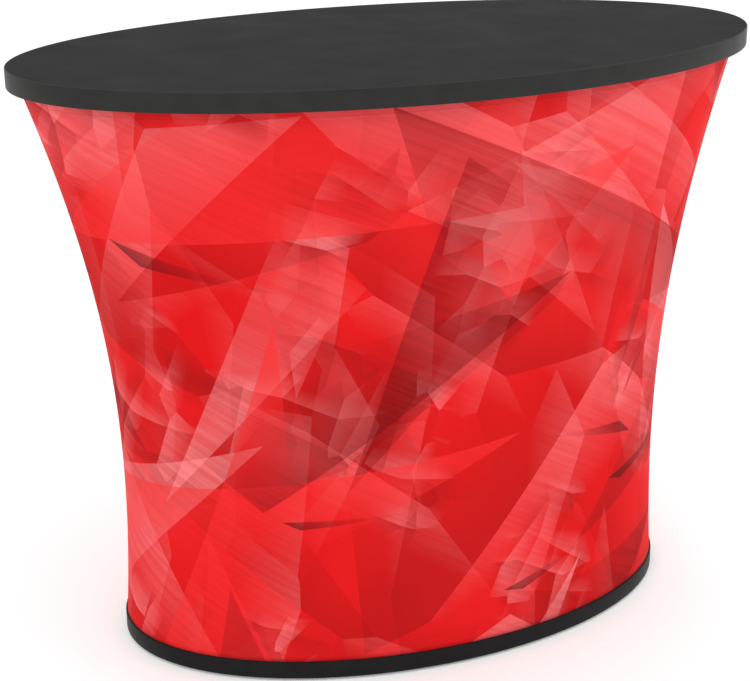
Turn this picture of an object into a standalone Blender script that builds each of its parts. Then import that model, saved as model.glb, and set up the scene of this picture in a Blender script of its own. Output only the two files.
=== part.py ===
"""Oval exhibition counter: stretch fabric drawn over a post frame between two oval boards.

Metres, +Z up. The origin lies on the floor under the middle of the counter, X runs along the
long way of the top and +Y is the staff side, where the zip runs.
"""

import math

import bmesh
import bpy
from mathutils import Matrix

# Whole counter
overall_height = 1.000
top_width = 1.270
top_depth = 0.700
top_thickness = 0.031
base_width = 1.000
base_depth = 0.600
base_thickness = 0.030

# Shared ways of making
touch_gap = 0.0003
cut_overrun = 0.005
weld_distance = 0.00001
oval_segments = 64
round_segments = 24
small_segments = 16

# Edge banding of the boards
band_thickness = 0.002
band_easing = 0.0015
shelf_band_thickness = 0.001

# Printed fabric sleeve and the curve of its ends, from the base up to the top
top_overhang_at_ends = 0.020
top_overhang_at_sides = 0.033
base_lip = 0.003
sleeve_thickness = 0.001
sleeve_levels = 10
end_curve_shares = (-0.622, 0.890, 1.365, -0.633)

# Board rings that the sleeve grips with hook tape
ring_thickness = 0.018
hook_tape_thickness = 0.001
hook_tape_levels = 1
lower_ring_width = 0.035
opening_beyond_posts = 0.060
opening_short_of_posts = 0.010

# Posts, their couplers and their sockets
post_from_base_end = 0.200
post_from_base_side = 0.160
post_diameter = 0.038
post_wall = 0.002
post_split_share = 0.450
coupler_engagement = 0.080
coupler_wall = 0.0025
flange_diameter = 0.068
flange_thickness = 0.004
spigot_height = 0.035

# Snap buttons that lock the upper posts, and the spring strips behind them
button_diameter = 0.008
button_flange_diameter = 0.0116
button_flange_thickness = 0.0012
button_stand_out = 0.003
button_easing = 0.001
button_above_split = 0.040
button_clearance = 0.0004
strip_width = 0.010
strip_thickness = 0.0008
strip_leg = 0.030
strip_above_button = 0.006
strip_bend_steps = 8

# Shelf on clamp collars, each held by a thumbscrew
shelf_clear_at_ends = 0.044
shelf_clear_at_sides = 0.034
shelf_thickness = 0.018
shelf_height_share = 0.600
shelf_post_clearance = 0.001
collar_diameter = 0.062
collar_height = 0.026
screw_diameter = 0.006
screw_clearance = 0.0003
knob_diameter = 0.023
knob_thickness = 0.009
knob_easing = 0.001
knob_stand_off = 0.003
knob_lobes = 6
knob_lobe_share = 0.06

# Pegs that locate the top on the upper ring
peg_diameter = 0.010
peg_reach = 0.014
peg_embedment = 0.012
peg_easing = 0.001
peg_from_sleeve = 0.125
peg_clearance = 0.0005

# Zip down the staff side
zip_start_above_base = 0.085
zip_end_below_top = 0.0395
slit_width = 0.010
zip_tape_width = 0.016
zip_tape_thickness = 0.0008
zip_tape_parting = 0.0012
zip_tape_overlap = 0.010
teeth_width = 0.007
teeth_thickness = 0.0026
stop_height = 0.005
stop_thickness = 0.0032

# Zip slider and its pull
slider_width = 0.013
slider_length = 0.018
slider_plate_thickness = 0.0016
slider_running_gap = 0.0003
ear_thickness = 0.0016
ear_spacing = 0.0052
ear_reach = 0.0050
ear_height = 0.0050
ear_root = 0.0005
hinge_pin_diameter = 0.0018
hinge_pin_above_plate = 0.0030
pull_length = 0.038
pull_width = 0.008
pull_neck_length = 0.0050
pull_thickness = 0.0016
eye_bore_diameter = 0.0026
eye_wall = 0.0010
eye_side_gap = 0.0004
eye_overlap = 0.0004

# Glides under the base
glide_height = 0.0045
glide_diameter = 0.040
glide_easing = 0.001
glide_from_base_end = 0.160
glide_from_base_side = 0.130

# Widths and depths that follow from the two boards
sleeve_top_width = top_width - 2 * top_overhang_at_ends
sleeve_top_depth = top_depth - 2 * top_overhang_at_sides
sleeve_base_width = base_width - 2 * base_lip
sleeve_base_depth = base_depth - 2 * base_lip
post_spacing_x = base_width - 2 * post_from_base_end
post_spacing_y = base_depth - 2 * post_from_base_side
upper_opening_width = post_spacing_x + 2 * opening_beyond_posts
upper_opening_depth = post_spacing_y - 2 * opening_short_of_posts
peg_spacing = sleeve_top_width - 2 * peg_from_sleeve
glide_spacing_x = base_width - 2 * glide_from_base_end
glide_spacing_y = base_depth - 2 * glide_from_base_side

# Heights that the pieces share
base_top = glide_height + base_thickness
top_underside = overall_height - top_thickness
sleeve_rise = top_underside - base_top
upper_ring_bottom = top_underside - touch_gap - ring_thickness
post_split_height = overall_height * post_split_share
shelf_top_height = overall_height * shelf_height_share
shelf_bottom = shelf_top_height - shelf_thickness
button_height = post_split_height + button_above_split
collar_middle = shelf_bottom - touch_gap - collar_height / 2

# Radii that the pieces share
post_radius = post_diameter / 2
post_bore_radius = post_radius - post_wall
coupler_radius = post_bore_radius - touch_gap
coupler_bore_radius = coupler_radius - coupler_wall

# Lean of the sleeve's back, and the line of the zip up its middle
back_lean = math.atan2((sleeve_top_depth - sleeve_base_depth) / 2, sleeve_rise)
zip_line = Matrix.Translation((0, sleeve_base_depth / 2, base_top)) @ Matrix.Rotation(-back_lean, 4, "X")
zip_end_above_base = sleeve_rise - zip_end_below_top


def sleeve_station(height, inset):
    """The oval that lies inset from the sleeve's outer face at a height.

    Fabric pulled taut between two ovals waists in at its curved ends, while its flatter front
    and back run straight from the base up to the top.
    """
    share = (height - base_top) / sleeve_rise
    curve = sum(part * share ** (power + 1) for power, part in enumerate(end_curve_shares))
    width = sleeve_base_width + (sleeve_top_width - sleeve_base_width) * curve
    depth = sleeve_base_depth + (sleeve_top_depth - sleeve_base_depth) * share
    return width / 2 - inset, depth / 2 - inset, height


def sleeve_wall(low, high, levels, outer_inset, thickness):
    """Stations up the outer face and back down the inner face of a wall that follows the sleeve."""
    heights = [low + (high - low) * step / levels for step in range(levels + 1)]
    outer = [sleeve_station(height, outer_inset) for height in heights]
    inner = [sleeve_station(height, outer_inset + thickness) for height in reversed(heights)]
    return outer + inner


def drop_of_back_facet(reach):
    """How far the faceted back of the sleeve has fallen away at a reach from its middle."""
    step = 2 * math.pi / oval_segments
    facet_width = sleeve_base_width / 2 * math.sin(step)
    facet_drop = sleeve_base_depth / 2 * (1 - math.cos(step))
    return facet_drop * reach / facet_width


def clear_scene():
    for obj in list(bpy.data.objects):
        bpy.data.objects.remove(obj)


def new_collection(name):
    collection = bpy.data.collections.new(name)
    bpy.context.scene.collection.children.link(collection)
    return collection


def finish(name, colour, roughness, metallic=0.0):
    material = bpy.data.materials.new(name)
    material.use_nodes = True
    shader = material.node_tree.nodes["Principled BSDF"]
    shader.inputs["Base Color"].default_value = (*colour, 1.0)
    shader.inputs["Roughness"].default_value = roughness
    shader.inputs["Metallic"].default_value = metallic
    material.diffuse_color = (*colour, 1.0)
    return material


def add_object(name, mesh, material, place, parent):
    """Puts a finished bmesh in the scene as one named object of the counter."""
    bmesh.ops.recalc_face_normals(mesh, faces=mesh.faces)
    data = bpy.data.meshes.new(name)
    mesh.to_mesh(data)
    mesh.free()
    return add_data(name, data, material, place, parent)


def add_data(name, data, material, place, parent):
    obj = bpy.data.objects.new(name, data)
    data.materials.append(material)
    counter.objects.link(obj)
    obj.parent = parent
    obj.matrix_world = place
    return obj


def empty(name):
    obj = bpy.data.objects.new(name, None)
    counter.objects.link(obj)
    return obj


def swept_oval(mesh, stations, segments):
    """Draws an oval through stations of (half width, half depth, height); returns its end loops."""
    half_width, half_depth, height = stations[0]
    place = Matrix.Translation((0, 0, height)) @ Matrix.Diagonal((half_width, half_depth, 1, 1))
    made = bmesh.ops.create_circle(mesh, cap_ends=False, segments=segments, radius=1, matrix=place)
    first = list({edge for vertex in made["verts"] for edge in vertex.link_edges})
    loop = first
    for before, after in zip(stations, stations[1:]):
        drawn = bmesh.ops.extrude_edge_only(mesh, edges=loop)["geom"]
        points = [item for item in drawn if isinstance(item, bmesh.types.BMVert)]
        loop = [item for item in drawn if isinstance(item, bmesh.types.BMEdge) and item.is_boundary]
        bmesh.ops.scale(mesh, vec=(after[0] / before[0], after[1] / before[1], 1), verts=points)
        bmesh.ops.translate(mesh, vec=(0, 0, after[2] - before[2]), verts=points)
    return first, loop


def oval_board(name, stations, material, parent):
    mesh = bmesh.new()
    for loop in swept_oval(mesh, stations, oval_segments):
        bmesh.ops.edgeloop_fill(mesh, edges=loop)
    return add_object(name, mesh, material, Matrix.Identity(4), parent)


def oval_ring(name, stations, material, parent):
    """A ring whose last station joins on to its first."""
    mesh = bmesh.new()
    swept_oval(mesh, stations + stations[:1], oval_segments)
    bmesh.ops.remove_doubles(mesh, verts=mesh.verts, dist=weld_distance)
    return add_object(name, mesh, material, Matrix.Identity(4), parent)


def turned(name, outline, material, parent, place, ring=False, steps=round_segments):
    """An outline of (radius, height) points, down its outer side, spun about Z. A ring's outline is closed."""
    data = bpy.data.meshes.new(name)
    last = len(outline) - 1
    edges = [(index, index + 1) for index in range(last)]
    if ring:
        edges.append((last, 0))
    data.from_pydata([(radius, 0, height) for radius, height in outline], edges, [])
    obj = add_data(name, data, material, place, parent)
    screw = obj.modifiers.new("spin", "SCREW")
    screw.angle = 2 * math.pi
    screw.steps = steps
    screw.render_steps = steps
    screw.use_merge_vertices = True
    screw.merge_threshold = weld_distance
    return obj


def cylinder_mesh(radius, low, high, segments):
    mesh = bmesh.new()
    bmesh.ops.create_cone(
        mesh,
        cap_ends=True,
        segments=segments,
        radius1=radius,
        radius2=radius,
        depth=high - low,
        matrix=Matrix.Translation((0, 0, (low + high) / 2)),
    )
    return mesh


def box_mesh(low, high):
    mesh = bmesh.new()
    centre = [(a + b) / 2 for a, b in zip(low, high)]
    size = [b - a for a, b in zip(low, high)]
    place = Matrix.Translation(centre) @ Matrix.Diagonal((*size, 1))
    bmesh.ops.create_cube(mesh, size=1, matrix=place)
    return mesh


def prism_mesh(outline, depth):
    """A flat outline drawn out by a depth."""
    mesh = bmesh.new()
    face = mesh.faces.new([mesh.verts.new(point) for point in outline])
    drawn = bmesh.ops.extrude_face_region(mesh, geom=[face])["geom"]
    points = [item for item in drawn if isinstance(item, bmesh.types.BMVert)]
    bmesh.ops.translate(mesh, vec=depth, verts=points)
    return mesh


def helper(name, mesh, place):
    """A shape that only cuts or joins others, and is no piece itself."""
    data = bpy.data.meshes.new(name)
    mesh.to_mesh(data)
    mesh.free()
    obj = bpy.data.objects.new(name, data)
    helpers.objects.link(obj)
    obj.matrix_world = place
    obj.hide_render = True
    obj.display_type = "WIRE"
    return obj


def combine(target, other, operation):
    modifier = target.modifiers.new(other.name, "BOOLEAN")
    modifier.operation = operation
    modifier.object = other


def cut(target, cutter):
    combine(target, cutter, "DIFFERENCE")


def join(target, other):
    combine(target, other, "UNION")


def banded_board(name, width, depth, low, high, band, easing, core_material, band_material, parent):
    """An oval board and the separate edging glued round it."""
    half_width = width / 2
    half_depth = depth / 2
    core_inset = band + touch_gap
    core = [
        (half_width - core_inset, half_depth - core_inset, low),
        (half_width - core_inset, half_depth - core_inset, high),
    ]
    edging = [
        (half_width - easing, half_depth - easing, low),
        (half_width, half_depth, low + easing),
        (half_width, half_depth, high - easing),
        (half_width - easing, half_depth - easing, high),
        (half_width - band, half_depth - band, high),
        (half_width - band, half_depth - band, low),
    ]
    board = oval_board(name + "_panel", core, core_material, parent)
    oval_ring(name + "_edge_band", edging, band_material, parent)
    return board


def build_base():
    banded_board(
        "base",
        base_width,
        base_depth,
        glide_height,
        base_top,
        band_thickness,
        band_easing,
        black_laminate,
        black_edging,
        frame,
    )
    radius = glide_diameter / 2
    pad_top = glide_height - touch_gap
    outline = [
        (0, pad_top),
        (radius, pad_top),
        (radius, glide_easing),
        (radius - glide_easing, 0),
        (0, 0),
    ]
    for name, x, y in corners(glide_spacing_x, glide_spacing_y):
        place = Matrix.Translation((x, y, 0))
        turned("glide_" + name, outline, rubber, frame, place, steps=small_segments)


def corners(spacing_x, spacing_y):
    """Name and place of the four corners, the staff side being the rear."""
    for side, x in (("left", -spacing_x / 2), ("right", spacing_x / 2)):
        for end, y in (("front", -spacing_y / 2), ("rear", spacing_y / 2)):
            yield end + "_" + side, x, y


def build_rings():
    """The two board rings, and the hook tape on their edges that holds the sleeve."""
    tape_inset = sleeve_thickness + touch_gap
    ring_inset = tape_inset + hook_tape_thickness + touch_gap
    lower_low = base_top + touch_gap
    lower_high = lower_low + ring_thickness
    upper_high = upper_ring_bottom + ring_thickness
    for name, low, high in (
        ("lower_hook_tape", lower_low, lower_high),
        ("upper_hook_tape", upper_ring_bottom, upper_high),
    ):
        wall = sleeve_wall(low, high, hook_tape_levels, tape_inset, hook_tape_thickness)
        oval_ring(name, wall, hook_tape, frame)
    lower_outer = [sleeve_station(height, ring_inset) for height in (lower_low, lower_high)]
    lower_inner = [
        sleeve_station(height, ring_inset + lower_ring_width) for height in (lower_high, lower_low)
    ]
    oval_ring("lower_ring", lower_outer + lower_inner, plywood, frame)
    upper_outer = [sleeve_station(height, ring_inset) for height in (upper_ring_bottom, upper_high)]
    upper_inner = [
        (upper_opening_width / 2, upper_opening_depth / 2, height)
        for height in (upper_high, upper_ring_bottom)
    ]
    upper_ring = oval_ring("upper_ring", upper_outer + upper_inner, plywood, frame)
    half_step = Matrix.Rotation(math.pi / small_segments, 4, "Z")
    for name, x in peg_places():
        hole = cylinder_mesh(
            peg_diameter / 2 + peg_clearance,
            upper_ring_bottom - cut_overrun,
            upper_high + cut_overrun,
            small_segments,
        )
        place = Matrix.Translation((x, 0, 0)) @ half_step
        cut(upper_ring, helper("peg_hole_" + name, hole, place))


def peg_places():
    return (("left", -peg_spacing / 2), ("right", peg_spacing / 2))


def build_top():
    """The counter top, with two pegs glued into blind holes under it."""
    panel = banded_board(
        "tabletop",
        top_width,
        top_depth,
        top_underside,
        overall_height,
        band_thickness,
        band_easing,
        grey_laminate,
        grey_edging,
        top_group,
    )
    radius = peg_diameter / 2
    high = top_underside + peg_embedment - touch_gap
    low = top_underside - peg_reach
    outline = [
        (0, high),
        (radius, high),
        (radius, low + peg_easing),
        (radius - peg_easing, low),
        (0, low),
    ]
    for name, x in peg_places():
        place = Matrix.Translation((x, 0, 0))
        hole = cylinder_mesh(
            radius + touch_gap,
            top_underside - cut_overrun,
            top_underside + peg_embedment,
            small_segments,
        )
        cut(panel, helper("peg_socket_" + name, hole, place))
        turned("locating_peg_" + name, outline, black_plastic, top_group, place, steps=small_segments)


def tube_outline(radius, bore_radius, low, high):
    return [(radius, high), (radius, low), (bore_radius, low), (bore_radius, high)]


def socket_outline(face, spigot_sign):
    """A flange against a board at face, with a spigot standing off it up (+1) or down (-1)."""
    flange_end = face + spigot_sign * flange_thickness
    spigot_end = flange_end + spigot_sign * spigot_height
    spigot_radius = post_bore_radius - touch_gap
    outline = [
        (0, spigot_end),
        (spigot_radius, spigot_end),
        (spigot_radius, flange_end),
        (flange_diameter / 2, flange_end),
        (flange_diameter / 2, face),
        (0, face),
    ]
    return outline if spigot_sign > 0 else outline[::-1]


def build_posts():
    """Four posts in two lengths, joined by couplers and plugged on flanged sockets."""
    floor_face = base_top + touch_gap
    head_face = upper_ring_bottom - touch_gap
    lower_low = floor_face + flange_thickness + touch_gap
    lower_high = post_split_height - touch_gap / 2
    upper_low = post_split_height + touch_gap / 2
    upper_high = head_face - flange_thickness - touch_gap
    coupler_low = post_split_height - coupler_engagement
    coupler_high = post_split_height + coupler_engagement
    for name, x, y in corners(post_spacing_x, post_spacing_y):
        place = Matrix.Translation((x, y, 0)) @ Matrix.Rotation(math.pi / round_segments, 4, "Z")
        turned("floor_socket_" + name, socket_outline(floor_face, 1), black_plastic, frame, place)
        turned("head_socket_" + name, socket_outline(head_face, -1), black_plastic, frame, place)
        lower = tube_outline(post_radius, post_bore_radius, lower_low, lower_high)
        turned("lower_post_" + name, lower, aluminium, frame, place, ring=True)
        outline = tube_outline(post_radius, post_bore_radius, upper_low, upper_high)
        upper_post = turned("upper_post_" + name, outline, aluminium, frame, place, ring=True)
        outline = tube_outline(coupler_radius, coupler_bore_radius, coupler_low, coupler_high)
        coupler = turned("post_coupler_" + name, outline, steel, frame, place, ring=True)
        build_snap_button(name, outward_place(x, y, button_height), (upper_post, coupler))


def outward_place(x, y, height):
    """A frame on a post's axis whose X points away from the middle of the counter."""
    turn = 0 if x > 0 else math.pi
    return Matrix.Translation((x, y, height)) @ Matrix.Rotation(turn, 4, "Z")


def build_snap_button(name, place, drilled):
    """A button through the coupler and the upper post, on a sprung strip bent into a U inside the coupler."""
    along_x = place @ Matrix.Rotation(math.pi / 2, 4, "Y")
    hole = cylinder_mesh(
        button_diameter / 2 + button_clearance,
        coupler_bore_radius - cut_overrun,
        post_radius + cut_overrun,
        small_segments,
    )
    cutter = helper("button_hole_" + name, hole, along_x)
    for piece in drilled:
        cut(piece, cutter)
    flange_radius = button_flange_diameter / 2
    radius = button_diameter / 2
    tip = post_radius + button_stand_out
    seat = math.sqrt(coupler_bore_radius**2 - flange_radius**2) - touch_gap
    back = seat - button_flange_thickness
    outline = [
        (0, tip),
        (radius - button_easing, tip),
        (radius, tip - button_easing),
        (radius, seat),
        (flange_radius, seat),
        (flange_radius, back),
        (0, back),
    ]
    turned("snap_button_" + name, outline, steel, frame, along_x, steps=small_segments)

    front = back - touch_gap - strip_thickness / 2
    wall_reach = math.sqrt(coupler_bore_radius**2 - (strip_width / 2) ** 2)
    rear = -wall_reach + touch_gap + strip_thickness / 2
    bend_radius = (front - rear) / 2
    bend_middle = (front + rear) / 2
    path = [(front, strip_above_button)]
    for step in range(strip_bend_steps + 1):
        angle = math.pi * step / strip_bend_steps
        path.append((bend_middle + bend_radius * math.cos(angle), -strip_leg - bend_radius * math.sin(angle)))
    path.append((rear, strip_above_button))
    mesh = bmesh.new()
    points = [mesh.verts.new((x, -strip_width / 2, z)) for x, z in path]
    edges = [mesh.edges.new(pair) for pair in zip(points, points[1:])]
    made = bmesh.ops.extrude_edge_only(mesh, edges=edges)
    swept = [item for item in made["geom"] if isinstance(item, bmesh.types.BMVert)]
    bmesh.ops.translate(mesh, verts=swept, vec=(0, strip_width, 0))
    strip = add_object("spring_strip_" + name, mesh, steel, place, frame)
    solidify = strip.modifiers.new("thickness", "SOLIDIFY")
    solidify.thickness = strip_thickness
    solidify.offset = 0


def build_shelf():
    """The shelf, and under it four collars that grip the posts with thumbscrews."""
    half_width, half_depth, _ = sleeve_station(shelf_bottom, 0)
    panel = banded_board(
        "shelf",
        2 * (half_width - shelf_clear_at_ends),
        2 * (half_depth - shelf_clear_at_sides),
        shelf_bottom,
        shelf_top_height,
        shelf_band_thickness,
        0,
        black_laminate,
        black_edging,
        shelf_group,
    )
    collar_low = collar_middle - collar_height / 2
    collar_high = collar_middle + collar_height / 2
    collar = tube_outline(collar_diameter / 2, post_radius + touch_gap, collar_low, collar_high)
    for name, x, y in corners(post_spacing_x, post_spacing_y):
        place = Matrix.Translation((x, y, 0)) @ Matrix.Rotation(math.pi / round_segments, 4, "Z")
        hole = cylinder_mesh(
            post_radius + shelf_post_clearance,
            shelf_bottom - cut_overrun,
            shelf_top_height + cut_overrun,
            round_segments,
        )
        cut(panel, helper("post_hole_" + name, hole, place))
        ring = turned("shelf_collar_" + name, collar, black_plastic, shelf_group, place, ring=True)
        inward = outward_place(x, y, collar_middle) @ Matrix.Rotation(-math.pi / 2, 4, "Y")
        bore = cylinder_mesh(
            screw_diameter / 2 + screw_clearance,
            post_radius - cut_overrun,
            collar_diameter / 2 + cut_overrun,
            small_segments,
        )
        cut(ring, helper("screw_hole_" + name, bore, inward))
        build_thumbscrew("thumbscrew_" + name, inward)


def build_thumbscrew(name, place):
    """A round shank and a lobed knob, along the local Z axis from the post outwards."""
    knob_low = collar_diameter / 2 + knob_stand_off
    knob_high = knob_low + knob_thickness
    shank = screw_diameter / 2
    knob = knob_diameter / 2
    stations = [
        (shank, shank, post_radius + touch_gap),
        (shank, shank, knob_low),
        (knob, knob, knob_low),
        (knob, knob, knob_high - knob_easing),
        (knob - knob_easing, knob - knob_easing, knob_high),
    ]
    mesh = bmesh.new()
    for loop in swept_oval(mesh, stations, round_segments):
        bmesh.ops.edgeloop_fill(mesh, edges=loop)
    for vertex in mesh.verts:
        if math.hypot(vertex.co.x, vertex.co.y) > shank + touch_gap:
            swell = 1 + knob_lobe_share * math.cos(knob_lobes * math.atan2(vertex.co.y, vertex.co.x))
            vertex.co.x *= swell
            vertex.co.y *= swell
    add_object(name, mesh, black_plastic, place, shelf_group)


def build_sleeve():
    """The printed sleeve, slit down the staff side for the zip."""
    wall = sleeve_wall(
        base_top + touch_gap,
        top_underside - 2 * touch_gap,
        sleeve_levels,
        0,
        sleeve_thickness,
    )
    sleeve = oval_ring("fabric_sleeve", wall, red_fabric, frame)
    slit = box_mesh(
        (-slit_width / 2, -cut_overrun, zip_start_above_base),
        (slit_width / 2, cut_overrun, zip_end_above_base),
    )
    cut(sleeve, helper("zip_slit", slit, zip_line))


def zip_box(name, low, high, material):
    """A box on the zip's line, with Y out of the fabric and Z up the zip."""
    return add_object(name, box_mesh(low, high), material, zip_line, frame)


def build_zip():
    """Zip tapes behind the slit, the closed teeth between them, and a stop at each end."""
    tape_reach = zip_tape_parting / 2 + zip_tape_width
    tape_face = -sleeve_thickness - drop_of_back_facet(tape_reach) - touch_gap
    tape_low = zip_start_above_base - zip_tape_overlap
    tape_high = zip_end_above_base + zip_tape_overlap
    for name, side in (("left", -1), ("right", 1)):
        ends = sorted((side * zip_tape_parting / 2, side * tape_reach))
        low = (ends[0], tape_face - zip_tape_thickness, tape_low)
        high = (ends[1], tape_face, tape_high)
        zip_box("zip_tape_" + name, low, high, black_tape)
    half = teeth_width / 2
    back = tape_face + touch_gap
    face = back + teeth_thickness
    stop_face = back + stop_thickness
    bottom_stop_low = zip_start_above_base + touch_gap
    teeth_low = bottom_stop_low + stop_height + touch_gap
    top_stop_high = zip_end_above_base - touch_gap
    teeth_high = top_stop_high - stop_height - touch_gap
    zip_box("zip_teeth", (-half, back, teeth_low), (half, face, teeth_high), black_plastic)
    for name, low in (("bottom", bottom_stop_low), ("top", top_stop_high - stop_height)):
        zip_box(f"zip_{name}_stop", (-half, back, low), (half, stop_face, low + stop_height), steel)
    build_slider(face, teeth_high - slider_length / 2)


def build_slider(teeth_face, middle):
    """A channelled slider that rides on the teeth, with two ears and a pin that carry the pull."""
    place = zip_line @ Matrix.Translation((0, 0, middle))
    outer = slider_width / 2
    inner = teeth_width / 2 + slider_running_gap
    foot = slider_running_gap
    plate_back = teeth_face + slider_running_gap
    plate_face = plate_back + slider_plate_thickness
    section = [
        (-outer, foot),
        (-inner, foot),
        (-inner, plate_back),
        (inner, plate_back),
        (inner, foot),
        (outer, foot),
        (outer, plate_face),
        (-outer, plate_face),
    ]
    outline = [(x, y, -slider_length / 2) for x, y in section]
    slider = add_object("zip_slider", prism_mesh(outline, (0, 0, slider_length)), steel, place, frame)
    for name, side in (("left", -1), ("right", 1)):
        ends = sorted((side * ear_spacing / 2, side * (ear_spacing / 2 + ear_thickness)))
        ear = box_mesh(
            (ends[0], plate_face - ear_root, -ear_height / 2),
            (ends[1], plate_face + ear_reach, ear_height / 2),
        )
        join(slider, helper("slider_ear_" + name, ear, place))
    pin_place = place @ Matrix.Translation((0, plate_face + hinge_pin_above_plate, 0))
    across = pin_place @ Matrix.Rotation(math.pi / 2, 4, "Y")
    pin_reach = ear_spacing / 2 + ear_thickness / 2
    pin = cylinder_mesh(hinge_pin_diameter / 2, -pin_reach, pin_reach, small_segments)
    join(slider, helper("slider_pin", pin, across))
    build_pull(Matrix.Translation(pin_place.translation))


def build_pull(hang):
    """A flat pull that hangs plumb from an eye round the slider's pin."""
    across = hang @ Matrix.Rotation(math.pi / 2, 4, "Y")
    bore_radius = eye_bore_diameter / 2
    eye_radius = bore_radius + eye_wall
    neck = ear_spacing / 2 - eye_side_gap
    half_width = pull_width / 2
    chamfer = half_width - neck
    shoulder = -pull_neck_length
    side = [
        (neck, -bore_radius - eye_overlap),
        (neck, shoulder),
        (half_width, shoulder - chamfer),
        (half_width, -pull_length + chamfer),
        (neck, -pull_length),
    ]
    outline = side + [(-x, z) for x, z in reversed(side)]
    tab = prism_mesh([(x, -pull_thickness / 2, z) for x, z in outline], (0, pull_thickness, 0))
    pull = add_object("zip_pull", tab, steel, hang, frame)
    eye = cylinder_mesh(eye_radius, -neck, neck, small_segments)
    join(pull, helper("pull_eye", eye, across))
    bore = cylinder_mesh(bore_radius, -neck - cut_overrun, neck + cut_overrun, small_segments)
    cut(pull, helper("pull_bore", bore, across))


clear_scene()
counter = new_collection("exhibition_counter")
helpers = new_collection("cutters")
frame = empty("frame")
top_group = empty("tabletop")
shelf_group = empty("shelf")
grey_laminate = finish("charcoal_laminate", (0.046, 0.046, 0.046), 0.55)
grey_edging = finish("charcoal_edging", (0.040, 0.040, 0.040), 0.5)
black_laminate = finish("black_laminate", (0.016, 0.016, 0.017), 0.5)
black_edging = finish("black_edging", (0.014, 0.014, 0.015), 0.45)
red_fabric = finish("red_printed_polyester", (0.80, 0.045, 0.045), 0.8)
plywood = finish("birch_plywood", (0.55, 0.40, 0.24), 0.7)
hook_tape = finish("hook_tape", (0.020, 0.020, 0.020), 0.95)
aluminium = finish("satin_aluminium", (0.72, 0.73, 0.74), 0.35, 1.0)
steel = finish("plated_steel", (0.60, 0.60, 0.61), 0.3, 1.0)
black_plastic = finish("black_nylon", (0.018, 0.018, 0.018), 0.5)
black_tape = finish("black_zip_tape", (0.015, 0.015, 0.015), 0.95)
rubber = finish("black_rubber", (0.020, 0.020, 0.020), 0.85)
build_base()
build_rings()
build_top()
build_posts()
build_shelf()
build_sleeve()
build_zip()
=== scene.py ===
# Looks of the oval exhibition counter: printed stretch fabric between a charcoal top and a black base.
# Metres, in the same frame as the solid model. +Y is the staff side, where the zip runs.

import math
import random

import bmesh
import bpy
from mathutils import Matrix, Vector


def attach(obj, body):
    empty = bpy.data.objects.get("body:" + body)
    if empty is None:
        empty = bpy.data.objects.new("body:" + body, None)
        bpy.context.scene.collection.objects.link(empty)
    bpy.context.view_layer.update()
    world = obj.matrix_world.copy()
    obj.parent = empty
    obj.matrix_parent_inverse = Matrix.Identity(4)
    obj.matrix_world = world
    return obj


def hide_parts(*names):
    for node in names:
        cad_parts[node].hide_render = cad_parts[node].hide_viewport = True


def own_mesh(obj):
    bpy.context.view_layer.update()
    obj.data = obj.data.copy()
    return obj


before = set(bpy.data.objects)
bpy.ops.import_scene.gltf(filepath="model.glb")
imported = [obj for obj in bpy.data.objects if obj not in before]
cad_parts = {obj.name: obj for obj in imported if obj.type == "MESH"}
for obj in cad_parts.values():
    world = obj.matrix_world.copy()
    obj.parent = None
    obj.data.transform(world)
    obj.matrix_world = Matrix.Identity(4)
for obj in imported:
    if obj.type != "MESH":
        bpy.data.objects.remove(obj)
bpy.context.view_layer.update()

print("frame loaded")


def hexLinear(code):
    channels = [int(code[place:place + 2], 16) / 255 for place in (1, 3, 5)]
    return tuple(c / 12.92 if c <= 0.04045 else ((c + 0.055) / 1.055) ** 2.4 for c in channels) + (1.0,)


def fillSockets(tree, node, values):
    # a node is read by its first output that is in use, a text is a hex colour, and the rest are plain values
    for socket, value in values.items():
        if isinstance(value, bpy.types.Node):
            value = next(output for output in value.outputs if output.enabled)
        if isinstance(value, str):
            value = hexLinear(value)
        if isinstance(value, bpy.types.NodeSocket):
            tree.links.new(value, node.inputs[socket])
        else:
            node.inputs[socket].default_value = value


def addNode(tree, kind, settings, values):
    node = tree.nodes.new("ShaderNode" + kind)
    if kind == "Mix":
        node.data_type = "RGBA"  # every mix here is one of colours
    for name, value in settings.items():
        setattr(node, name, value)
    fillSockets(tree, node, values)
    return node


def startMaterial(name, values):
    material = bpy.data.materials.new(name)
    material.use_nodes = True
    shader = material.node_tree.nodes["Principled BSDF"]
    fillSockets(material.node_tree, shader, values)
    return material, material.node_tree, shader


def startSurface(name, values):
    # also gives the place on the object, for the patterns
    material, tree, shader = startMaterial(name, values)
    return material, tree, shader, addNode(tree, "TexCoord", {}, {}).outputs["Object"]


def endSurface(tree, shader, colour, dullness, relief):
    # dullness is a pattern, its range and the roughness at either end; relief a pattern, its depth and strength
    rough = addNode(tree, "MapRange", {}, dict(enumerate(dullness)))
    bump = addNode(tree, "Bump", {}, dict(zip(("Height", "Distance", "Strength"), relief)))
    fillSockets(tree, shader, {"Base Color": colour, "Roughness": rough, "Normal": bump})


# Camera, placed by fitting the rims of the top and the base to the photograph

view = {
    "azimuth": -21.470,  # degrees, from the front towards the left end
    "elevation": 20.156,
    "roll": -0.493,
    "distance": 3.0188,
    "aim": (-0.0392, 0.0, 0.4818),
    "lens": 83.735,  # mm, on a sensor 36 mm wide
}


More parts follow.
